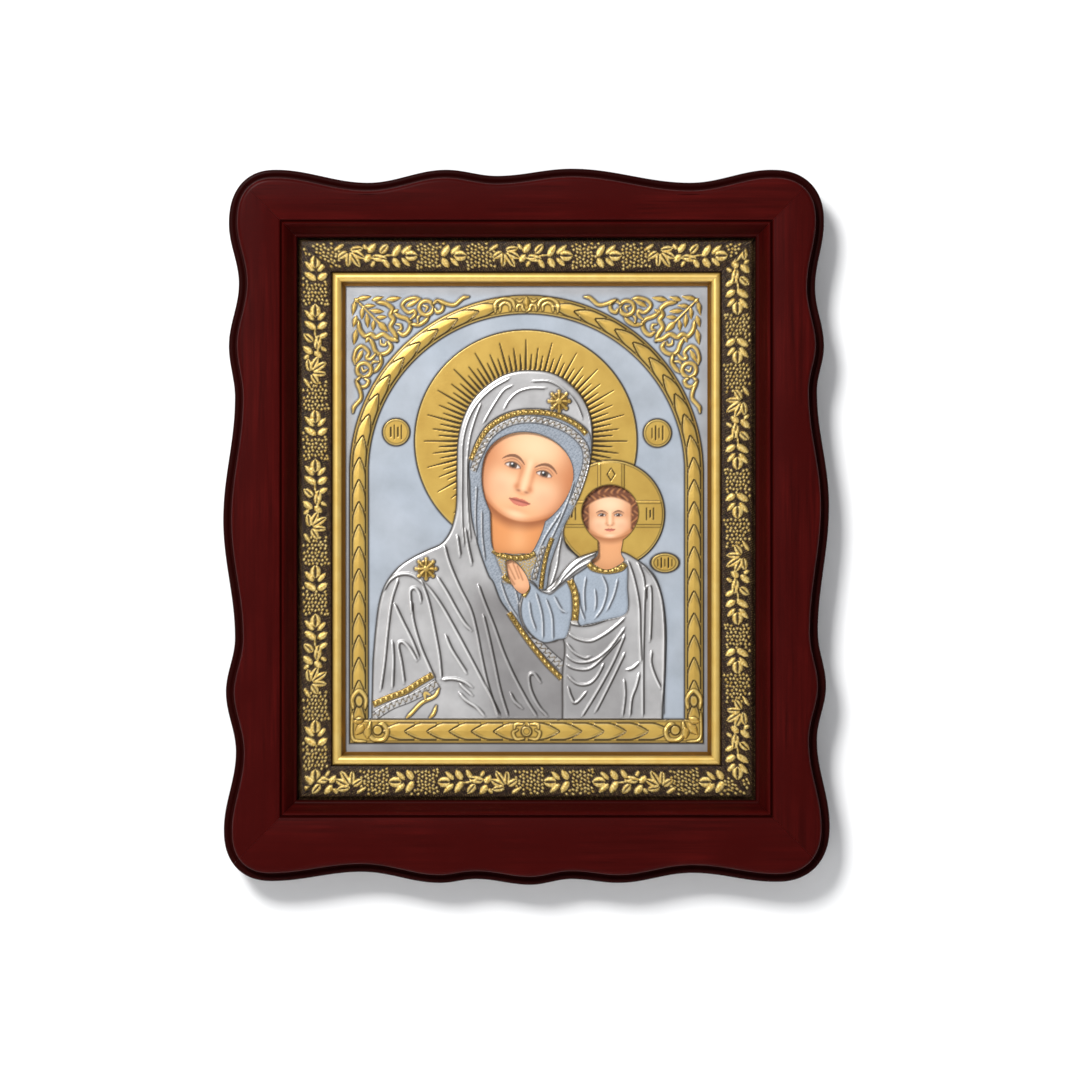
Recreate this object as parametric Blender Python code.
"""Framed icon panel.

A scalloped and lacquered wooden frame of four mitred rails holds an ornamented inner
moulding, a gilt slip, a stamped metal cover and the painted board behind it. The cover
is open at the two faces, their necks and the small hand, which are painted on the board.

The front faces -Y and +Z is up. The origin lies on the back of the top rail, midway
along it, where the panel is hung.
"""
import math

import bmesh
import bpy
from mathutils import Vector

MM = 0.001
GAP = 0.3 * MM

# Wooden frame: overall size, thickness and the profile of its outer edge
FRAME_WIDTH = 291.0 * MM
FRAME_HEIGHT = 344.0 * MM
FRAME_THICKNESS = 28.0 * MM
OUTLINE_STEP = 9.4 * MM
CORNER_STEPS = 5
CORNER_FULLNESS = 2.3
EDGE_DROP = 6.4 * MM
EDGE_BEAD_WIDTH = 3.0 * MM
EDGE_BEAD_ROUND = 1.1 * MM
EDGE_COVE_WIDTH = 1.5 * MM
EDGE_COVE_DEPTH = 0.5 * MM
FACE_ROUND = 1.5 * MM

# Crests and hollows of each side: place as a share of the half length, and share of the full depth
WAVE_DEPTH = 7.5 * MM
TOP_WAVE = (
    (-0.826, 0.12), (-0.523, 0.95), (-0.265, 0.12), (-0.098, 0.51),
    (0.150, 0.05), (0.540, 0.95), (0.810, 0.12),
)
RIGHT_WAVE = (
    (-0.850, 0.36), (-0.666, 0.93), (-0.503, 0.36), (-0.376, 0.81),
    (-0.057, 0.04), (0.294, 0.75), (0.445, 0.23), (0.596, 0.81), (0.836, 0.0),
)
BOTTOM_WAVE = (
    (-0.823, 0.19), (-0.546, 0.76), (-0.302, 0.12), (-0.150, 0.37),
    (-0.012, 0.0), (0.166, 0.37), (0.285, 0.12), (0.543, 0.83), (0.840, 0.24),
)
LEFT_WAVE = (
    (-0.847, 0.04), (-0.629, 0.81), (-0.462, 0.17), (-0.311, 0.75),
    (0.018, 0.0), (0.359, 0.75), (0.503, 0.36), (0.677, 1.0), (0.844, 0.36),
)

# Rails, measured from the crest line to the opening, and the bevel, groove and rebate around it
SIDE_RAIL_WIDTH = 35.6 * MM
TOP_RAIL_WIDTH = 33.5 * MM
BOTTOM_RAIL_WIDTH = 40.7 * MM
BEVEL_WIDTH = 6.2 * MM
BEVEL_DROP = 7.4 * MM
GROOVE_OFFSET = 7.3 * MM
GROOVE_WIDTH = 1.5 * MM
GROOVE_DEPTH = 1.2 * MM
LIP_THICKNESS = 3.0 * MM
REBATE_LAP = 4.3 * MM

# Ornamented moulding behind the lip of the wood, and the gilt slip within it
MOULDING_WIDTH = 16.4 * MM
MOULDING_COVE = 2.0 * MM
MOULDING_RISE = 2.2 * MM
MOULDING_CROWN = 0.5 * MM
MOULDING_LIP = 3.0 * MM
COVE_FOOT = (0.35, 0.15)
CROWN_SHARE = 0.45
SLIP_FLANGE = 3.7 * MM
SLIP_FLANGE_THICKNESS = 1.5 * MM
SLIP_BEAD_WIDTH = 4.8 * MM
SLIP_BEAD_RISE = 2.0 * MM
SLIP_SLOPE_WIDTH = 1.4 * MM
SLIP_SIGHT_HEIGHT = 1.0 * MM
SLIP_BEAD_STEPS = 6
SLIP_SHARP_ANGLE = 40.0

# Stamped cover, and the painted board that lies behind it, set back from the back of the rails
COVER_THICKNESS = 0.8 * MM
BACK_RECESS = 5.3 * MM

# Ornament of the moulding: one repeat, where it falls on each side, and where its motifs lie in it
REPEAT = 74.4 * MM
TOP_REPEAT_AT = -35.8 * MM
RIGHT_REPEAT_AT = -7.2 * MM
BOTTOM_REPEAT_AT = 59.0 * MM
LEFT_REPEAT_AT = 45.0 * MM
UPPER_PALMETTE_AT = 0.0 * MM
LOWER_PALMETTE_AT = -23.5 * MM
CLUSTER_AT = -36.5 * MM
FIVE_LEAF_AT = -49.0 * MM
ORNAMENT_LINE_SHARE = 0.46
LEAF_RISE = 0.75 * MM
LEAF_SINK = 0.25 * MM
LEAF_WIDEST_SHARE = 0.42

# Heights of the stamping above the ground of the cover
BORDER_RISE = 0.7 * MM
LAUREL_RISE = 0.5 * MM
HALO_RISE = 0.6 * MM
RAY_DEPTH = 0.35 * MM
SMALL_HALO_RISE = 0.9 * MM
ROBE_RISE = 1.3 * MM
CHILD_RISE = 1.7 * MM
ROBE_FOLD_RISE = 0.6 * MM
CHILD_FOLD_RISE = 0.5 * MM
TRIM_RISE = 0.4 * MM
SCROLL_RISE = 0.8 * MM
BOSS_RISE = 0.6 * MM
PETAL_EDGE = 0.15 * MM
LINE_RISE = 0.3 * MM
LINE_HALF_WIDTH = 0.45

# Roots of the stamping inside the sheet, and the shares that shape its ridges and bands
FIRST_ROOT_SHARE = 0.3
ROOT_STEP = 0.003 * MM
SHALLOW_ROOT = 0.2 * MM
CREST_SINK = 0.15 * MM
CREST_TAPER = 0.55
BAND_SLOPE_SHARE = 0.12
BAND_LAP = 0.5 * MM
FOOT_BAND_STEP = 0.05 * MM
CUTTER_PAST = 1.5 * MM

# Arched laurel border of the cover, and how far it stays from the sight edge of the slip
BORDER_WIDTH = 8.7 * MM
BORDER_MARGIN = 2.05 * MM
CROWN_MARGIN = 4.45 * MM
FOOT_BAND_WIDTH = 11.3 * MM
FOOT_MARGIN = 4.15 * MM
ARCH_STEPS = 22
LAUREL_PITCH = 10.7 * MM
LAUREL_LENGTH = 10.0 * MM
LAUREL_HALF_WIDTH = 2.7 * MM
FIRST_LAUREL_AT = 12.8 * MM
CROWN_CLEARANCE = 17.1 * MM
FIRST_FOOT_LEAF_AT = 8.6 * MM
FOOT_CORNER_CLEARANCE = 27.8 * MM

# Room round the figures inside the border
FIGURE_FOOT_GAP = 0.25 * MM
FIGURE_SIDE_GAP = 1.95 * MM
FIGURE_HEADROOM = 40.5 * MM

# The figures and what goes with them are drawn in their own small unit, across and up from the
# middle of the sight: it comes from the room that the drawing of the mother fills.
# Halos, medallions and rosettes: centre and radius
HALO_CENTRE = (-0.3, 37.4)
HALO_RADIUS = 53.5
HALO_RAYS = 28
RAY_OUTER_RADIUS = 47.0
RAY_INNER_RADIUS = 32.0
SMALL_HALO_CENTRE = (40.7, 2.4)
SMALL_HALO_RADIUS = 25.7
SMALL_HALO_STEPS = 24
CROSS_BAR_HALF_WIDTH = 6.4
CROSS_BAR_START = 12.1
CROSS_BAR_END = 22.7
MEDALLIONS = (((-62.7, 41.8), 6.5, 6.5), ((63.0, 41.3), 6.7, 6.7), ((66.6, -21.1), 6.7, 4.6))
MEDALLION_STEPS = 14
STROKE_PLACES = (-0.42, -0.14, 0.14, 0.42)
STROKE_REACH = 0.45
ROSETTES = ((15.7, 56.6), (-48.3, -24.0))
ROSETTE_RADIUS = 5.4
ROSETTE_PETALS = 8
ROSETTE_WAIST = 0.72
ROSETTE_BOSS = 0.25
FOOT_ROSETTE_RADIUS = 3.2

# Openings of the cover: centre, half width, reach up, reach down and lean of each head
LARGE_HEAD = ((0.8, 23.0), 22.0, 18.5, 30.0, -16.0)
SMALL_HEAD = ((40.2, 2.9), 13.6, 13.4, 15.0, 0.0)
CHIN_NARROWING = 0.16
LARGE_HEAD_STEPS = 18
SMALL_HEAD_STEPS = 16

# Outlines of the necks, the hand and the two figures
LARGE_NECK = ((-17.5, 4.0), (-16.2, -14.0), (-10.0, -16.4), (-3.0, -16.6), (3.6, -14.4), (8.0, 4.0))
SMALL_NECK = (
    (34.4, -7.0), (34.4, -17.0), (31.4, -20.6), (38.6, -24.4), (46.6, -20.4), (45.4, -16.4), (45.6, -7.0),
)
HAND = (
    (-10.0, -20.6), (-7.2, -19.8), (-3.4, -22.6), (0.2, -28.2), (1.2, -33.2), (-1.8, -36.0),
    (-5.8, -33.2), (-8.8, -27.6),
)
MOTHER_OUTLINE = (
    (-74.3, -96.3), (-73.8, -68.2), (-72.6, -53.8), (-70.9, -40.8), (-67.8, -31.4), (-61.8, -23.5),
    (-55.1, -18.7), (-47.4, -14.9), (-41.1, -12.0), (-37.0, -6.7), (-34.6, 0.5), (-33.6, 8.6),
    (-33.5, 23.0), (-33.0, 37.4), (-30.6, 48.0), (-26.3, 56.6), (-20.0, 63.4), (-12.3, 68.6),
    (-5.1, 71.0), (2.1, 71.5), (10.7, 70.6), (17.9, 67.2), (24.6, 61.0), (28.9, 54.2), (31.3, 46.6),
    (31.8, 38.4), (30.9, 28.8), (28.9, 20.6), (26.1, 12.5), (22.2, 3.8), (17.9, -4.8), (19.3, -13.0),
    (25.1, -18.7), (35.7, -29.8), (45.3, -58.6), (45.3, -96.3),
)
CHILD_OUTLINE = (
    (34.2, -15.4), (28.0, -17.8), (20.3, -23.0), (13.1, -30.7), (7.3, -34.6), (3.5, -30.7),
    (0.6, -29.8), (-1.8, -35.5), (-3.7, -42.2), (-2.3, -49.9), (2.1, -55.7), (7.3, -59.0),
    (13.1, -59.0), (17.4, -57.6), (18.5, -63.4), (17.4, -73.9), (17.4, -96.5), (65.4, -96.5),
    (66.6, -75.0), (67.1, -55.0), (65.9, -41.0), (63.0, -31.0), (58.0, -23.6), (52.0, -19.0), (45.3, -15.8),
)

# Fold crests of the mother's robe, from the shoulder down
MOTHER_FOLDS = (
    ((-39.7, -12.5), (-36.6, -23.1), (-30.2, -37.6), (-24.3, -53.8), (-20.3, -73.4), (-13.8, -95.0)),
    (
        (-69.0, -34.6), (-61.8, -26.9), (-53.7, -28.0), (-46.9, -33.6), (-37.6, -47.6), (-25.0, -70.8),
        (-12.8, -95.0),
    ),
    ((-56.0, -34.6), (-54.6, -49.0), (-49.2, -65.6), (-44.0, -77.8)),
    ((-50.7, -29.8), (-46.0, -44.2), (-42.4, -62.6), (-41.1, -76.8)),
    ((-23.4, -31.7), (-18.0, -46.0), (-11.4, -63.8), (-3.2, -81.8), (4.9, -95.0)),
    ((-21.0, -46.1), (-15.7, -69.1), (-9.0, -95.0)),
    ((-39.2, -55.7), (-34.4, -65.6), (-28.7, -74.4)),
    ((-43.1, -27.8), (-35.8, -40.2), (-26.3, -53.8)),
    ((-63.7, -40.8), (-57.4, -54.3), (-51.7, -67.2)),
    ((-61.8, -28.8), (-67.1, -54.7), (-70.4, -82.6)),
    ((-58.9, -79.2), (-61.6, -63.6), (-59.0, -59.6), (-52.7, -68.2)),
    ((6.9, -79.2), (3.6, -75.0), (1.2, -78.4), (10.2, -95.0)),
    ((-40.7, -77.3), (-32.0, -77.6), (-25.8, -81.1)),
    ((-32.5, -83.5), (-26.2, -89.0), (-20.0, -95.0)),
    ((-30.1, -13.0), (-31.1, 5.0), (-30.9, 30.0), (-27.7, 48.5), (-19.6, 60.0), (-8.0, 67.7)),
    ((-27.0, -8.0), (-27.2, 14.0), (-25.6, 42.0), (-21.9, 55.7)),
    ((2.5, 66.2), (14.3, 65.0), (23.7, 55.7), (28.9, 39.4)),
    ((-10.9, 52.4), (-6.4, 59.6), (9.7, 62.9)),
    ((13.6, -6.7), (12.1, -16.4), (8.3, -33.0)),
)

# Fold crests of the child's mantle and tunic
CHILD_FOLDS = (
    ((20.3, -49.9), (31.8, -50.6), (47.2, -44.6)),
    ((19.8, -54.7), (27.8, -58.4), (37.1, -55.7), (47.2, -47.5)),
    ((19.3, -65.8), (29.9, -69.0), (41.4, -60.0), (47.2, -52.3)),
    ((19.8, -75.4), (29.9, -79.2), (37.1, -69.6)),
    ((19.8, -80.6), (21.8, -87.0), (24.8, -87.8), (28.9, -83.0)),
    ((47.2, -55.7), (38.0, -75.0), (26.5, -95.0)),
    ((47.2, -64.3), (41.4, -76.3), (32.8, -93.1)),
    ((48.6, -20.2), (53.4, -38.0), (54.9, -69.1)),
    ((54.4, -22.1), (56.6, -40.0), (55.8, -95.0)),
    ((59.4, -33.0), (60.0, -59.0)),
    ((47.2, -75.8), (52.6, -76.8), (53.4, -80.4), (47.2, -89.3)),
    ((46.7, -70.0), (46.2, -95.0)),
    ((33.0, -16.8), (24.1, -22.0), (14.1, -32.6)),
    ((28.5, -27.8), (28.0, -45.1)),
    ((37.1, -25.9), (38.5, -33.6), (32.8, -48.0)),
    ((43.8, -28.8), (38.5, -44.2)),
    ((5.0, -37.0), (7.8, -56.6)),
    ((9.8, -38.8), (12.8, -57.0)),
)

# Half widths of the folds, and the flat bands of trim as a half width and a middle line
ROBE_FOLD_HALF_WIDTH = 1.1
CHILD_FOLD_HALF_WIDTH = 0.9
MOTHER_TRIMS = (
    (1.7, ((-26.4, 29.0), (-19.3, 42.4), (-10.5, 49.0), (4.5, 51.3), (17.0, 49.0), (28.6, 40.4))),
    (1.8, ((-8.5, -45.1), (3.0, -61.4), (16.4, -76.2))),
    (1.6, ((-73.4, -89.3), (-60.0, -83.8), (-45.0, -74.9))),
    (1.6, ((-16.8, -15.4), (-10.5, -18.2), (-2.0, -18.4), (4.2, -15.8))),
)
CHILD_TRIMS = (
    (1.4, ((20.8, -29.3), (23.7, -40.2), (23.2, -49.0))),
    (1.7, ((30.6, -21.0), (38.6, -26.0), (47.0, -21.6))),
)

# Corner scrollwork, inward and down from an upper corner of the sight: half width, then the middle line
CORNER_SCROLLS = (
    (1.0, ((4.6, 6.1), (12.6, 7.6), (20.8, 10.6), (23.0, 16.0), (22.4, 21.4), (24.6, 26.6))),
    (1.0, ((5.0, 7.0), (6.2, 16.0), (10.2, 22.4), (16.6, 24.4), (24.2, 27.0))),
    (0.9, ((22.4, 12.4), (27.6, 16.0), (31.2, 18.6), (29.6, 23.6), (25.4, 21.6), (26.6, 19.0))),
    (0.9, ((26.2, 7.6), (28.6, 13.4), (33.4, 14.2), (32.8, 10.6))),
    (0.9, ((42.4, 9.8), (44.0, 7.6), (46.4, 9.4), (44.6, 11.6), (43.4, 13.4))),
    (0.8, ((45.4, 8.2), (51.6, 10.4), (58.6, 7.0))),
    (0.9, ((6.0, 21.8), (7.8, 30.4), (16.0, 34.6), (21.0, 30.6), (18.6, 26.4), (16.6, 28.8))),
    (0.9, ((15.4, 35.0), (15.8, 40.0), (12.6, 42.0))),
    (0.8, ((4.6, 45.4), (6.6, 49.4), (9.8, 47.6), (8.4, 45.2))),
    (0.8, ((5.0, 47.6), (6.4, 56.0), (3.2, 61.6))),
)
CORNER_LEAVES = (
    ((7.4, 8.0), (16.6, 8.4), 1.5), ((8.6, 8.8), (19.4, 14.0), 1.5),
    ((8.4, 11.0), (13.0, 22.2), 1.5), ((12.8, 14.6), (20.2, 21.2), 1.6),
    ((5.8, 5.8), (12.4, 4.8), 0.9), ((13.0, 6.0), (18.2, 5.0), 0.9),
    ((19.0, 6.6), (27.0, 5.2), 1.1), ((26.6, 9.2), (36.0, 5.8), 1.3),
    ((31.6, 18.0), (39.6, 15.4), 1.3), ((9.0, 30.4), (4.0, 37.6), 1.4),
    ((4.8, 23.4), (4.0, 29.6), 1.1), ((4.6, 8.6), (3.4, 15.6), 0.9),
)
CORNER_RINGS = ((38.7, 11.2), (8.2, 40.5))
RING_RADIUS = 3.4
RING_HALF_WIDTH = 0.9
RING_STEPS = 10

# Scrolls at the crown of the border, across and down from the top of the sight, and where the border
# meets the foot band, inward and up from a lower corner of the sight
CROWN_SCROLLS = (
    (1.5, ((-14.6, 11.0), (-12.8, 6.0), (-6.4, 6.4), (-4.8, 10.6))),
)
FOOT_SCROLLS = (
    (1.5, ((6.8, 30.2), (3.6, 25.4), (5.6, 20.4), (8.8, 23.2))),
    (1.5, ((11.0, 12.2), (14.4, 6.4), (20.6, 8.6), (19.4, 13.2))),
)
FOOT_SCROLL_LEAVES = (
    ((9.0, 15.8), (3.4, 13.2), 2.2), ((9.0, 13.4), (4.2, 7.0), 2.3),
    ((10.6, 12.0), (10.4, 6.0), 2.2),
)


def clear_scene():
    """Remove whatever the file holds."""
    for item in list(bpy.data.objects):
        bpy.data.objects.remove(item, do_unlink=True)


def finish(name, colour, roughness, metallic):
    """One surface finish."""
    material = bpy.data.materials.new(name)
    material.use_nodes = True
    shader = material.node_tree.nodes["Principled BSDF"]
    shader.inputs["Base Color"].default_value = (*colour, 1.0)
    shader.inputs["Roughness"].default_value = roughness
    shader.inputs["Metallic"].default_value = metallic
    return material


def add_object(name, body, material=None):
    """Turn a bmesh into an object, with its faces turned outwards."""
    bmesh.ops.recalc_face_normals(body, faces=body.faces)
    mesh = bpy.data.meshes.new(name)
    body.to_mesh(mesh)
    body.free()
    made = bpy.data.objects.new(name, mesh)
    bpy.context.scene.collection.objects.link(made)
    if material:
        mesh.materials.append(material)
    return made


def add_tool(name, body):
    """An object that only cuts or joins: it is no piece of the panel."""
    made = add_object(name, body)
    made.hide_render = True
    made.display_type = "WIRE"
    return made


def combine(target, tool, operation, crossing=False):
    """Cut, keep or join with another closed shape."""
    step = target.modifiers.new(tool.name, "BOOLEAN")
    step.operation = operation
    step.object = tool
    step.solver = "EXACT"
    step.use_self = crossing


def loft(body, loops, ring=False):
    """Join point loops of equal length into one closed shape, or into a closed ring."""
    rows = [[body.verts.new(point) for point in loop] for loop in loops]
    pairs = list(zip(rows, rows[1:]))
    if ring:
        pairs.append((rows[-1], rows[0]))
    count = len(rows[0])
    for low, high in pairs:
        for i in range(count):
            j = (i + 1) % count
            body.faces.new((low[i], low[j], high[j], high[i]))
    if not ring:
        body.faces.new(rows[0])
        body.faces.new(rows[-1])


# Places


OPENING_HALF_X = FRAME_WIDTH / 2 - SIDE_RAIL_WIDTH
OPENING_HALF_Z = (FRAME_HEIGHT - TOP_RAIL_WIDTH - BOTTOM_RAIL_WIDTH) / 2
OPENING_RISE = (BOTTOM_RAIL_WIDTH - TOP_RAIL_WIDTH) / 2
LEDGE = FRAME_THICKNESS - BEVEL_DROP - LIP_THICKNESS
MOULDING_TOP = LEDGE - GAP
BAND_TOP = MOULDING_TOP + MOULDING_RISE
SLIP_FLANGE_TOP = BAND_TOP - MOULDING_LIP - GAP
SLIP_BOTTOM = SLIP_FLANGE_TOP - SLIP_FLANGE_THICKNESS
COVER_FRONT = SLIP_BOTTOM - GAP
COVER_BACK = COVER_FRONT - COVER_THICKNESS
BOARD_FRONT = COVER_BACK - GAP
SLIP_OUTER = MOULDING_WIDTH + GAP
SIGHT = SLIP_OUTER + SLIP_BEAD_WIDTH + SLIP_SLOPE_WIDTH
PACKAGE_EDGE = MOULDING_WIDTH - SLIP_FLANGE
MOUNT_UP = (OPENING_RISE + OPENING_HALF_Z + REBATE_LAP + FRAME_HEIGHT / 2 - WAVE_DEPTH) / 2
SIGHT_HALF_X = OPENING_HALF_X - SIGHT
SIGHT_HALF_Z = OPENING_HALF_Z - SIGHT
ARCH_RADIUS = SIGHT_HALF_X - BORDER_MARGIN - BORDER_WIDTH / 2
ARCH_CENTRE_UP = SIGHT_HALF_Z - CROWN_MARGIN - BORDER_WIDTH / 2 - ARCH_RADIUS
FOOT_BAND_UP = FOOT_MARGIN + FOOT_BAND_WIDTH / 2 - SIGHT_HALF_Z
FIGURE_FOOT = FOOT_BAND_UP + FOOT_BAND_WIDTH / 2 + FIGURE_FOOT_GAP
FIGURE_HEIGHT = SIGHT_HALF_Z - FIGURE_HEADROOM - FIGURE_FOOT
FIGURE_REACH = ARCH_RADIUS - BORDER_WIDTH / 2 - FIGURE_SIDE_GAP
DRAWN_FOOT = min(z for x, z in MOTHER_OUTLINE)
DRAWN_HEIGHT = max(z for x, z in MOTHER_OUTLINE) - DRAWN_FOOT
DRAWN_REACH = max(abs(x) for x, z in MOTHER_OUTLINE)
DRAWN = min(FIGURE_HEIGHT / DRAWN_HEIGHT, FIGURE_REACH / DRAWN_REACH)


def at(across, up, height):
    """A point of the panel: across and up from the middle of the frame, height from its back."""
    return Vector((across, -height, up - MOUNT_UP))


def on_cover(across, up, height):
    """A point of the cover: across and up from its middle, height above its ground."""
    return at(across, up + OPENING_RISE, COVER_FRONT + height)


def along_side(side, along, inward, height):
    """A point of the stick on one side: along its run, inward from the opening of the wood."""
    if side == "top":
        return at(along, OPENING_RISE + OPENING_HALF_Z - inward, height)
    if side == "right":
        return at(OPENING_HALF_X - inward, OPENING_RISE - along, height)
    if side == "bottom":
        return at(-along, OPENING_RISE - OPENING_HALF_Z + inward, height)
    return at(-OPENING_HALF_X + inward, OPENING_RISE + along, height)


SIDES = ("top", "right", "bottom", "left")


def half_run(side):
    """Half the length of the opening along one side."""
    return OPENING_HALF_X if side in ("top", "bottom") else OPENING_HALF_Z


# Wooden frame


def wave_share(wave, place):
    """Share of the full depth below the crest line, easing from crest to hollow and back."""
    for (start, first), (end, second) in zip(wave, wave[1:]):
        if place <= end:
            share = (place - start) / (end - start)
            return first + (second - first) * (1 - math.cos(math.pi * share)) / 2
    return wave[-1][1]


def side_outline(wave, half_length, half_reach):
    """Points of one scalloped side, as (along, out) pairs from its first crest to its last."""
    first = wave[0][0]
    last = wave[-1][0]
    count = max(2, round((last - first) * half_length / OUTLINE_STEP))
    places = [first + (last - first) * k / count for k in range(count + 1)]
    return [(place * half_length, half_reach - WAVE_DEPTH * wave_share(wave, place)) for place in places]


def frame_outline():
    """The scalloped outline with its four full round corners, clockwise from the top left."""
    half_x = FRAME_WIDTH / 2
    half_z = FRAME_HEIGHT / 2
    top = side_outline(TOP_WAVE, half_x, half_z)
    right = [(o, -a) for a, o in side_outline(RIGHT_WAVE, half_z, half_x)]
    bottom = [(-a, -o) for a, o in side_outline(BOTTOM_WAVE, half_x, half_z)]
    left = [(-o, a) for a, o in side_outline(LEFT_WAVE, half_z, half_x)]
    runs = [top, right, bottom, left]
    points = []
    for k, run in enumerate(runs):
        following = runs[(k + 1) % 4]
        points += run
        points += corner_points(run[-1], following[0], k % 2 == 0)
    return [Vector(point) for point in points]


def corner_points(start, end, level_first):
    """Full round corner from a crest of one side to the first crest of the next."""
    points = []
    for k in range(1, CORNER_STEPS):
        angle = math.pi / 2 * k / CORNER_STEPS
        go = math.sin(angle) ** (2 / CORNER_FULLNESS)
        stay = 1 - math.cos(angle) ** (2 / CORNER_FULLNESS)
        if level_first:
            share_x, share_z = go, stay
        else:
            share_x, share_z = stay, go
        x = start[0] + (end[0] - start[0]) * share_x
        z = start[1] + (end[1] - start[1]) * share_z
        points.append((x, z))
    return points


def inset_outline(points, inward):
    """The outline moved inward along its own normals."""
    moved = []
    for i, point in enumerate(points):
        run = points[(i + 1) % len(points)] - points[i - 1]
        run.normalize()
        moved.append(point + Vector((run.y, -run.x)) * inward)
    return moved


def frame_blank():
    """The whole frame as one board, with its stepped and rounded outer edge."""
    top = FRAME_THICKNESS
    bead = top - EDGE_DROP
    foot = EDGE_BEAD_WIDTH + EDGE_COVE_WIDTH
    rows = (
        (0.0, 0.0),
        (0.0, bead - EDGE_BEAD_ROUND),
        (EDGE_BEAD_ROUND, bead),
        (EDGE_BEAD_WIDTH, bead),
        (foot - EDGE_COVE_DEPTH, bead - EDGE_COVE_DEPTH),
        (foot, top - FACE_ROUND),
        (foot + FACE_ROUND, top),
    )
    outline = frame_outline()
    body = bmesh.new()
    loops = []
    for inward, height in rows:
        loops.append([at(p.x, p.y, height) for p in inset_outline(outline, inward)])
    loft(body, loops)
    return add_tool("frame_blank", body)


def rectangle(grow, height):
    """The rectangle of the opening, grown outward, at one height."""
    half_x = OPENING_HALF_X + grow
    half_z = OPENING_HALF_Z + grow
    corners = ((-half_x, -half_z), (half_x, -half_z), (half_x, half_z), (-half_x, half_z))
    return [at(x, OPENING_RISE + z, height) for x, z in corners]


def opening_cutter():
    """Opening with its rebate behind and its flared bevel in front."""
    past = 1.0 * MM
    top = FRAME_THICKNESS
    flare = BEVEL_WIDTH * (BEVEL_DROP + past) / BEVEL_DROP
    rows = (
        (REBATE_LAP, -past),
        (REBATE_LAP, LEDGE),
        (0.0, LEDGE),
        (0.0, top - BEVEL_DROP),
        (flare, top + past),
    )
    body = bmesh.new()
    loft(body, [rectangle(grow, height) for grow, height in rows])
    return add_tool("opening_cutter", body)


def groove_cutter():
    """V-groove that runs round the bevel."""
    past = 0.5 * MM
    half = GROOVE_WIDTH / 2 * (GROOVE_DEPTH + past) / GROOVE_DEPTH
    top = FRAME_THICKNESS
    rows = (
        (GROOVE_OFFSET - half, top + past),
        (GROOVE_OFFSET, top - GROOVE_DEPTH),
        (GROOVE_OFFSET + half, top + past),
    )
    body = bmesh.new()
    loft(body, [rectangle(grow, height) for grow, height in rows], ring=True)
    return add_tool("groove_cutter", body)


def mitre_block(side):
    """The space of one rail, between the two mitres, half a gap clear of each."""
    shift = GAP / 2 * math.sqrt(2)
    outer = max(FRAME_WIDTH, FRAME_HEIGHT) / 4
    inner = OPENING_HALF_X / 2
    run = half_run(side)
    corners = (
        (-(run + outer - shift), -outer),
        (run + outer - shift, -outer),
        (run - inner - shift, inner),
        (-(run - inner - shift), inner),
    )
    past = 5.0 * MM
    body = bmesh.new()
    loft(body, [
        [along_side(side, along, inward, height) for along, inward in corners]
        for height in (-past, FRAME_THICKNESS + past)
    ])
    return add_tool("mitre_block_" + side, body)


def build_rails(material):
    """The four mitred rails of the wooden frame."""
    blank = frame_blank()
    opening = opening_cutter()
    groove = groove_cutter()
    for side in SIDES:
        rail = bpy.data.objects.new("frame_rail_" + side, blank.data.copy())
        bpy.context.scene.collection.objects.link(rail)
        rail.data.materials.append(material)
        combine(rail, mitre_block(side), "INTERSECT")
        combine(rail, opening, "DIFFERENCE")
        combine(rail, groove, "DIFFERENCE")


# Moulding and slip


def mitred_stick(side, section):
    """One length of a section, mitred at both ends: section points are (inward, height)."""
    shift = GAP / 2 * math.sqrt(2)
    reach = half_run(side) - shift
    body = bmesh.new()
    loft(body, [
        [along_side(side, end * (reach - inward), inward, height) for inward, height in section]
        for end in (-1, 1)
    ])
    return body


def band_front():
    """Front line of the moulding, from its cove to its sight edge."""
    width = MOULDING_WIDTH - MOULDING_COVE
    line = [(MOULDING_COVE * COVE_FOOT[0], MOULDING_TOP + MOULDING_RISE * COVE_FOOT[1])]
    for share, crown in ((0.0, 0.0), (CROWN_SHARE, MOULDING_CROWN), (1.0, 0.0)):
        line.append((MOULDING_COVE + width * share, BAND_TOP - MOULDING_CROWN + crown))
    return line


def band_height(inward):
    """Height of the moulding's front at one place across it."""
    line = band_front()
    for (start, first), (end, second) in zip(line, line[1:]):
        if inward <= end:
            return first + (second - first) * (inward - start) / (end - start)
    return line[-1][1]


def moulding_section():
    """Flange under the wood, cove, crowned band and the rebate for the slip and the board."""
    flange_edge = -(REBATE_LAP - GAP)
    section = [(flange_edge, BACK_RECESS), (flange_edge, MOULDING_TOP), (0.0, MOULDING_TOP)]
    section += band_front()
    section += [
        (MOULDING_WIDTH, BAND_TOP - MOULDING_LIP),
        (PACKAGE_EDGE - GAP, BAND_TOP - MOULDING_LIP),
        (PACKAGE_EDGE - GAP, BACK_RECESS),
    ]
    return section


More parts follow.
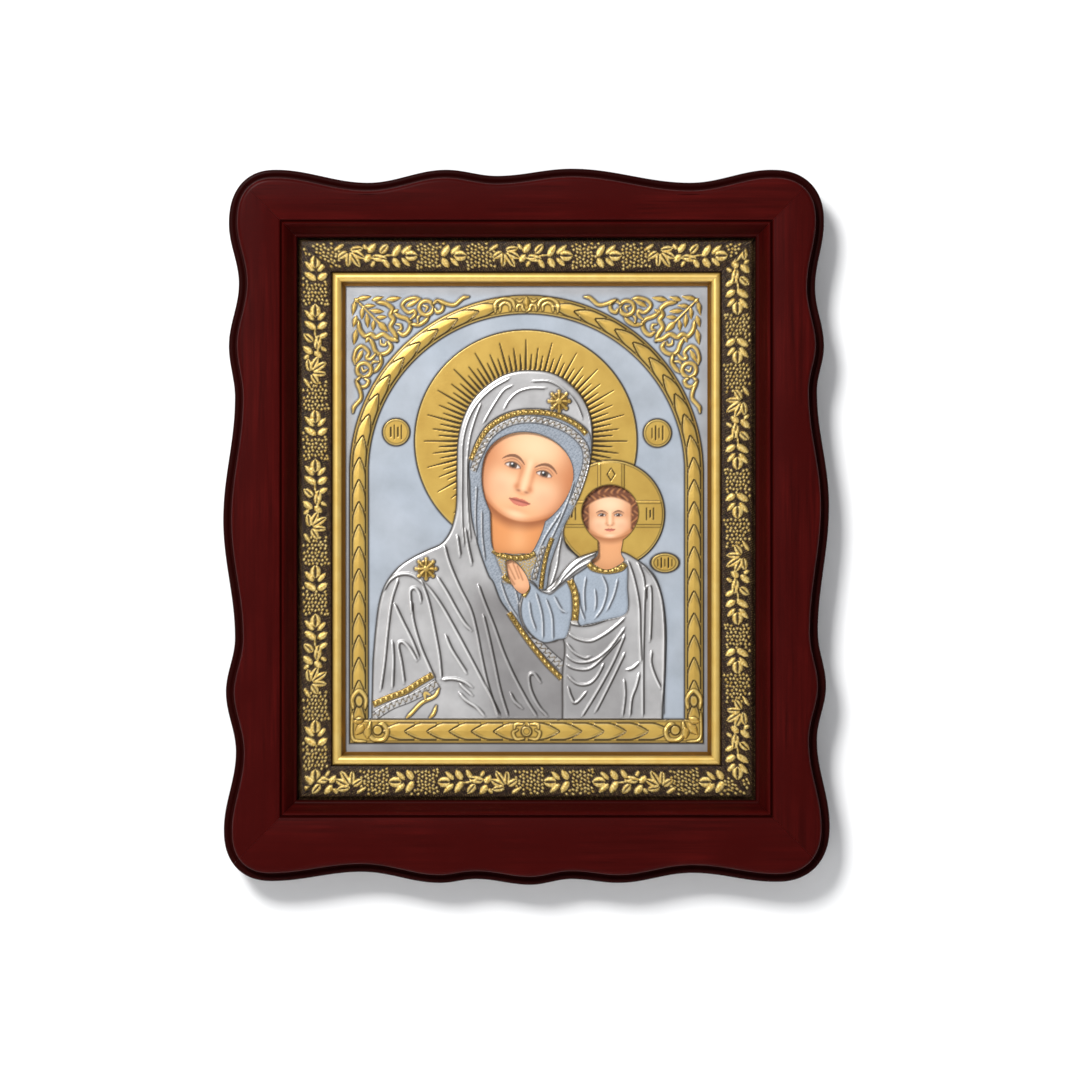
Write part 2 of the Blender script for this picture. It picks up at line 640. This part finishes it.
def slip_section():
    """Flange behind the moulding, round gilt bead and the slope down to the cover."""
    section = [
        (PACKAGE_EDGE, SLIP_BOTTOM),
        (PACKAGE_EDGE, SLIP_FLANGE_TOP),
        (SLIP_OUTER, SLIP_FLANGE_TOP),
    ]
    foot = BAND_TOP - MOULDING_CROWN - SLIP_BEAD_RISE / 2
    for k in range(SLIP_BEAD_STEPS + 1):
        angle = math.pi * k / SLIP_BEAD_STEPS
        inward = SLIP_OUTER + SLIP_BEAD_WIDTH / 2 * (1 - math.cos(angle))
        section.append((inward, foot + SLIP_BEAD_RISE * math.sin(angle)))
    section.append((SIGHT, COVER_FRONT + GAP + SLIP_SIGHT_HEIGHT))
    section.append((SIGHT, SLIP_BOTTOM))
    return section


def leaf(body, place, base, tip, half_width, ground, rise, root_height):
    """A pointed leaf: a four-sided mound with its widest place nearer the base, and its root."""
    base = Vector(base)
    tip = Vector(tip)
    run = tip - base
    side = Vector((-run.y, run.x)).normalized() * half_width
    middle = base + run * LEAF_WIDEST_SHARE
    ring = (base, middle - side, tip, middle + side)
    rim = [body.verts.new(place(p.x, p.y, ground(p) - LEAF_SINK)) for p in ring]
    crest = body.verts.new(place(middle.x, middle.y, ground(middle) + rise))
    root = body.verts.new(place(middle.x, middle.y, root_height))
    for i in range(4):
        j = (i + 1) % 4
        body.faces.new((rim[i], rim[j], crest))
        body.faces.new((rim[j], rim[i], root))


# Leaves of each motif in millimetres, (inward, along) from the middle line of the ornament
PALMETTE = (
    ((0.0, 0.6), (0.0, 6.0), 2.2),
    ((-1.2, -0.8), (-4.8, 3.2), 1.1), ((1.2, -0.8), (4.6, 2.4), 1.1),
    ((-0.2, -5.4), (-5.2, -2.2), 1.2), ((1.4, -5.2), (4.8, -2.6), 1.3),
)
CLUSTER = (
    ((-1.4, -3.0), (-5.0, -0.6), 1.1), ((-1.0, -6.0), (-4.6, -8.8), 1.2),
    ((0.4, -4.8), (1.8, 0.4), 1.3), ((1.0, 1.6), (5.2, 1.2), 0.9),
)
FIVE_LEAVES = (
    ((0.0, 0.0), (0.6, 4.8), 1.2), ((0.4, -0.4), (4.8, 3.0), 1.0), ((0.2, -1.2), (4.4, -2.6), 1.1),
    ((-0.6, -0.4), (-4.6, 2.8), 1.1), ((-0.4, -1.4), (-3.2, -4.4), 1.1),
)
ORNAMENT = (
    (UPPER_PALMETTE_AT, PALMETTE), (LOWER_PALMETTE_AT, PALMETTE),
    (CLUSTER_AT, CLUSTER), (FIVE_LEAF_AT, FIVE_LEAVES),
)
REPEAT_AT = {
    "top": TOP_REPEAT_AT, "right": RIGHT_REPEAT_AT, "bottom": BOTTOM_REPEAT_AT, "left": LEFT_REPEAT_AT,
}


def side_leaves(side):
    """The leaves of one moulding, repeated along it, that stay clear of its mitres."""
    body = bmesh.new()
    middle = MOULDING_COVE + (MOULDING_WIDTH - MOULDING_COVE) * ORNAMENT_LINE_SHARE
    run = half_run(side)
    count = math.ceil(run / REPEAT) + 1

    def place(inward, along, height):
        return along_side(side, along, inward, height)

    def ground(point):
        return band_height(point.x)

    for k in range(-count, count + 1):
        for offset, motif in ORNAMENT:
            centre = REPEAT_AT[side] + k * REPEAT + offset
            for base, tip, half_width in motif:
                ends = [(middle + p[0] * MM, centre + p[1] * MM) for p in (base, tip)]
                reach = max(abs(along) + inward for inward, along in ends) + half_width * MM * 1.5
                if reach < run:
                    leaf(body, place, ends[0], ends[1], half_width * MM, ground, LEAF_RISE, MOULDING_TOP)
    return add_tool("leaves_" + side, body)


def build_mouldings(material):
    """Four ornamented lengths behind the lip of the wood."""
    for side in SIDES:
        moulding = add_object("moulding_" + side, mitred_stick(side, moulding_section()), material)
        combine(moulding, side_leaves(side), "UNION")


def build_slips(material):
    """Four gilt lengths within the moulding."""
    for side in SIDES:
        slip = add_object("slip_" + side, mitred_stick(side, slip_section()), material)
        slip.data.shade_smooth()
        slip.data.set_sharp_from_angle(angle=math.radians(SLIP_SHARP_ANGLE))


# Stamped cover


def drawn(points):
    """Points of the drawing, as lengths across and up from the middle of the cover."""
    return [Vector((x * DRAWN, FIGURE_FOOT + (z - DRAWN_FOOT) * DRAWN)) for x, z in points]


def upper_corner(points, side):
    """Points drawn inward and down from an upper corner of the sight, at the left or right."""
    return [Vector((side * (SIGHT_HALF_X - x * DRAWN), SIGHT_HALF_Z - z * DRAWN)) for x, z in points]


def lower_corner(points, side):
    """Points drawn inward and up from a lower corner of the sight, at the left or right."""
    return [Vector((side * (SIGHT_HALF_X - x * DRAWN), z * DRAWN - SIGHT_HALF_Z)) for x, z in points]


def at_crown(points, side):
    """Points drawn across and down from the top of the sight, at the left or right."""
    return [Vector((-side * x * DRAWN, SIGHT_HALF_Z - z * DRAWN)) for x, z in points]


def egg(head, count):
    """Drawn outline of a leaning head, with a fuller top and a narrower chin."""
    (middle_x, middle_z), half_width, up, down, lean = head
    turn = math.radians(lean)
    points = []
    for k in range(count):
        angle = 2 * math.pi * k / count
        x = half_width * math.cos(angle)
        z = math.sin(angle) * (up if math.sin(angle) > 0 else down)
        if z < 0:
            x *= 1 - CHIN_NARROWING * (z / down) ** 2
        points.append((
            middle_x + x * math.cos(turn) - z * math.sin(turn),
            middle_z + x * math.sin(turn) + z * math.cos(turn),
        ))
    return points


def circle(centre, radius_x, radius_z, count):
    """Points round an oval."""
    return [
        Vector((centre[0] + radius_x * math.cos(2 * math.pi * k / count),
                centre[1] + radius_z * math.sin(2 * math.pi * k / count)))
        for k in range(count)
    ]


class Relief:
    """Closed shapes that rise from the cover, each rooted a little deeper than the last."""

    def __init__(self):
        self.body = bmesh.new()
        self.root = COVER_THICKNESS * FIRST_ROOT_SHARE

    def next_root(self):
        """Depth of the next root, so that no two lie in one plane."""
        self.root += ROOT_STEP
        return -self.root

    def foot(self, ground):
        """Where a shape starts: in the sheet, or a little below the pad that it lies on."""
        return ground - SHALLOW_ROOT if ground > 0 else self.next_root()

    def pad(self, outline, rise):
        """A flat field with an upright edge."""
        foot = self.next_root()
        loft(self.body, [[on_cover(p.x, p.y, height) for p in outline] for height in (foot, rise)])

    def strip(self, path, section, taper=0.0, ring=False):
        """A section of (across, height) pairs carried along a path, narrowed at its ends by the taper."""
        loops = []
        last = len(path) - 1
        for i, point in enumerate(path):
            before = path[i - 1] if i > 0 or ring else point
            after = path[(i + 1) % len(path)] if i < last or ring else point
            run = (after - before).normalized()
            side = Vector((-run.y, run.x))
            size = 1 - taper if i in (0, last) and not ring else 1.0
            loops.append([
                on_cover(point.x + side.x * across * size, point.y + side.y * across * size, height)
                for across, height in section
            ])
        loft(self.body, loops, ring)

    def crest(self, path, half_width, ground, rise, ring=False):
        """A ridge with narrow ends, on ground of a given height."""
        low = ground - CREST_SINK
        root = self.foot(ground) - CREST_SINK
        section = ((-half_width, low), (0.0, root), (half_width, low), (0.0, ground + rise))
        self.strip(path, section, taper=CREST_TAPER, ring=ring)

    def flat_band(self, path, half_width, ground, rise):
        """A flat band with sloped edges."""
        foot = self.foot(ground)
        slope = half_width * BAND_SLOPE_SHARE
        section = ((-half_width, foot), (half_width, foot), (half_width - slope, ground + rise),
                   (slope - half_width, ground + rise))
        self.strip(path, section)

    def leaf(self, base, tip, half_width, ground, rise):
        """A pointed leaf on ground of a given height."""
        root = self.foot(ground) - LEAF_SINK
        leaf(self.body, on_cover, base, tip, half_width, lambda point: ground, rise, root)


def border_path():
    """Middle line of the arched border, from the foot at the left over the crown to the right."""
    foot = FOOT_BAND_UP + FOOT_BAND_WIDTH / 2 - BAND_LAP
    path = [Vector((-ARCH_RADIUS, foot))]
    for k in range(ARCH_STEPS + 1):
        angle = math.pi * (1 - k / ARCH_STEPS)
        path.append(Vector((ARCH_RADIUS * math.cos(angle), ARCH_CENTRE_UP + ARCH_RADIUS * math.sin(angle))))
    path.append(Vector((ARCH_RADIUS, foot)))
    return path


def arch_place(length):
    """A point of the left half of the border and its direction, at a length from its foot."""
    foot = FOOT_BAND_UP + FOOT_BAND_WIDTH / 2
    straight = ARCH_CENTRE_UP - foot
    if length <= straight:
        return Vector((-ARCH_RADIUS, foot + length)), Vector((0.0, 1.0))
    angle = math.pi - (length - straight) / ARCH_RADIUS
    point = Vector((ARCH_RADIUS * math.cos(angle), ARCH_CENTRE_UP + ARCH_RADIUS * math.sin(angle)))
    return point, Vector((math.sin(angle), -math.cos(angle)))


def add_border(relief):
    """Arched border with laurel leaves that climb to its crown, and the foot band below."""
    relief.flat_band(border_path(), BORDER_WIDTH / 2, 0.0, BORDER_RISE)
    half = ARCH_RADIUS + BORDER_WIDTH / 2
    foot_band = [Vector((-half, FOOT_BAND_UP)), Vector((half, FOOT_BAND_UP))]
    relief.flat_band(foot_band, FOOT_BAND_WIDTH / 2, 0.0, BORDER_RISE - FOOT_BAND_STEP)
    foot = FOOT_BAND_UP + FOOT_BAND_WIDTH / 2
    climb = ARCH_CENTRE_UP - foot + ARCH_RADIUS * math.pi / 2 - FIRST_LAUREL_AT - CROWN_CLEARANCE
    for k in range(int(climb / LAUREL_PITCH) + 1):
        point, run = arch_place(FIRST_LAUREL_AT + k * LAUREL_PITCH)
        for turn in (1, -1):
            base = Vector((point.x * turn, point.y))
            tip = base + Vector((run.x * turn, run.y)) * LAUREL_LENGTH
            relief.leaf(base, tip, LAUREL_HALF_WIDTH, BORDER_RISE, LAUREL_RISE)
    for k in range(int((half - FOOT_CORNER_CLEARANCE) / LAUREL_PITCH)):
        for turn in (1, -1):
            base = Vector((turn * (FIRST_FOOT_LEAF_AT + k * LAUREL_PITCH), FOOT_BAND_UP))
            tip = base + Vector((turn * LAUREL_LENGTH, 0.0))
            relief.leaf(base, tip, LAUREL_HALF_WIDTH, BORDER_RISE, LAUREL_RISE)
    for side in (-1, 1):
        for scrolls, placed in ((CROWN_SCROLLS, at_crown), (FOOT_SCROLLS, lower_corner)):
            for half_width, path in scrolls:
                relief.crest(placed(path, side), half_width * DRAWN, 0.0, BORDER_RISE + BOSS_RISE)
        for base, tip, half_width in FOOT_SCROLL_LEAVES:
            first, second = lower_corner((base, tip), side)
            relief.leaf(first, second, half_width * DRAWN, 0.0, BORDER_RISE + LAUREL_RISE)
    rosette(relief, Vector((0.0, FOOT_BAND_UP)), FOOT_ROSETTE_RADIUS * DRAWN, BORDER_RISE)


def rosette(relief, centre, radius, ground):
    """A star of pointed petals round a boss."""
    star = []
    for k, point in enumerate(circle(centre, radius, radius, ROSETTE_PETALS * 2)):
        star.append(point if k % 2 == 0 else centre.lerp(point, ROSETTE_WAIST))
    boss = circle(centre, radius * ROSETTE_BOSS, radius * ROSETTE_BOSS, ROSETTE_PETALS * 2)
    rows = ((star, relief.foot(ground)), (star, ground + PETAL_EDGE), (boss, ground + BOSS_RISE))
    loft(relief.body, [[on_cover(p.x, p.y, height) for p in ring] for ring, height in rows])


def add_halos(relief):
    """The large halo with its rays and the small one with its cross bars."""
    count = HALO_RAYS * 2
    rows = ((HALO_RADIUS, relief.next_root(), 0.0), (HALO_RADIUS, HALO_RISE, 0.0),
            (RAY_OUTER_RADIUS, HALO_RISE, 0.0), (RAY_INNER_RADIUS, HALO_RISE, RAY_DEPTH))
    loops = []
    for radius, height, dip in rows:
        ring = drawn(circle(HALO_CENTRE, radius, radius, count))
        loops.append([on_cover(p.x, p.y, height - dip * (k % 2)) for k, p in enumerate(ring)])
    loft(relief.body, loops)
    small_ring = circle(SMALL_HALO_CENTRE, SMALL_HALO_RADIUS, SMALL_HALO_RADIUS, SMALL_HALO_STEPS)
    relief.pad(drawn(small_ring), SMALL_HALO_RISE)
    centre = Vector(SMALL_HALO_CENTRE)
    for end in (Vector((0.0, 1.0)), Vector((-1.0, 0.0)), Vector((1.0, 0.0))):
        side = Vector((end.y, end.x))
        for edge in (-1, 1):
            start = centre + side * CROSS_BAR_HALF_WIDTH * edge
            line = [start + end * reach for reach in (CROSS_BAR_START, CROSS_BAR_END)]
            relief.crest(drawn(line), LINE_HALF_WIDTH * DRAWN, SMALL_HALO_RISE, LINE_RISE)


def add_figures(relief):
    """Mother in veil and robe, and the child in tunic and mantle, with their folds and trims."""
    figures = (
        (MOTHER_OUTLINE, MOTHER_FOLDS, MOTHER_TRIMS, ROBE_RISE, ROBE_FOLD_HALF_WIDTH, ROBE_FOLD_RISE),
        (CHILD_OUTLINE, CHILD_FOLDS, CHILD_TRIMS, CHILD_RISE, CHILD_FOLD_HALF_WIDTH, CHILD_FOLD_RISE),
    )
    for outline, folds, trims, ground, fold_half_width, fold_rise in figures:
        relief.pad(drawn(outline), ground)
        for path in folds:
            relief.crest(drawn(path), fold_half_width * DRAWN, ground, fold_rise)
        for half_width, path in trims:
            relief.flat_band(drawn(path), half_width * DRAWN, ground, TRIM_RISE)
    for centre in drawn(ROSETTES):
        rosette(relief, centre, ROSETTE_RADIUS * DRAWN, ROBE_RISE)


def add_medallions(relief):
    """Two round medallions and an oval one, each with a row of upright strokes."""
    for centre, radius_x, radius_z in MEDALLIONS:
        relief.pad(drawn(circle(centre, radius_x, radius_z, MEDALLION_STEPS)), BORDER_RISE)
        for share in STROKE_PLACES:
            x = centre[0] + radius_x * share
            line = [(x, centre[1] + radius_z * STROKE_REACH * end) for end in (-1, 1)]
            relief.crest(drawn(line), LINE_HALF_WIDTH * DRAWN, BORDER_RISE, LINE_RISE)


def add_corner_scrollwork(relief):
    """Leafy scrolls in the two upper corners."""
    for side in (-1, 1):
        for half_width, path in CORNER_SCROLLS:
            relief.crest(upper_corner(path, side), half_width * DRAWN, 0.0, SCROLL_RISE)
        for base, tip, half_width in CORNER_LEAVES:
            first, second = upper_corner((base, tip), side)
            relief.leaf(first, second, half_width * DRAWN, 0.0, SCROLL_RISE)
        for centre in upper_corner(CORNER_RINGS, side):
            ring = circle(centre, RING_RADIUS * DRAWN, RING_RADIUS * DRAWN, RING_STEPS)
            relief.crest(ring, RING_HALF_WIDTH * DRAWN, 0.0, SCROLL_RISE, ring=True)


def flesh_cutters():
    """Openings of the cover over the painted faces, necks and hand."""
    cutters = []
    outlines = {
        "large_head_cutter": egg(LARGE_HEAD, LARGE_HEAD_STEPS),
        "large_neck_cutter": LARGE_NECK,
        "small_head_cutter": egg(SMALL_HEAD, SMALL_HEAD_STEPS),
        "small_neck_cutter": SMALL_NECK,
        "hand_cutter": HAND,
    }
    depth = COVER_THICKNESS + CUTTER_PAST
    top = CHILD_RISE + CHILD_FOLD_RISE + CUTTER_PAST
    for name, outline in outlines.items():
        body = bmesh.new()
        loft(body, [[on_cover(p.x, p.y, height) for p in drawn(outline)] for height in (-depth, top)])
        cutters.append(add_tool(name, body))
    return cutters


def build_cover(material):
    """The stamped metal cover, one sheet with all its relief."""
    grow = -PACKAGE_EDGE
    body = bmesh.new()
    loft(body, [rectangle(grow, height) for height in (COVER_BACK, COVER_FRONT)])
    cover = add_object("embossed_cover", body, material)
    relief = Relief()
    add_border(relief)
    add_halos(relief)
    add_figures(relief)
    add_medallions(relief)
    add_corner_scrollwork(relief)
    combine(cover, add_tool("cover_relief", relief.body), "UNION", crossing=True)
    for cutter in flesh_cutters():
        combine(cover, cutter, "DIFFERENCE")


def build_board(material):
    """The board that carries the painted flesh and closes the back."""
    body = bmesh.new()
    loft(body, [rectangle(-PACKAGE_EDGE, height) for height in (BACK_RECESS, BOARD_FRONT)])
    add_object("icon_board", body, material)


def main():
    """Build every piece of the panel."""
    clear_scene()
    build_rails(finish("mahogany_lacquer", (0.045, 0.008, 0.009), 0.35, 0.0))
    build_mouldings(finish("antique_bronze", (0.20, 0.14, 0.07), 0.45, 0.8))
    build_slips(finish("gilt", (0.78, 0.50, 0.14), 0.3, 1.0))
    build_cover(finish("stamped_metal", (0.58, 0.57, 0.57), 0.35, 0.9))
    build_board(finish("painted_board", (0.62, 0.36, 0.20), 0.6, 0.0))


main()
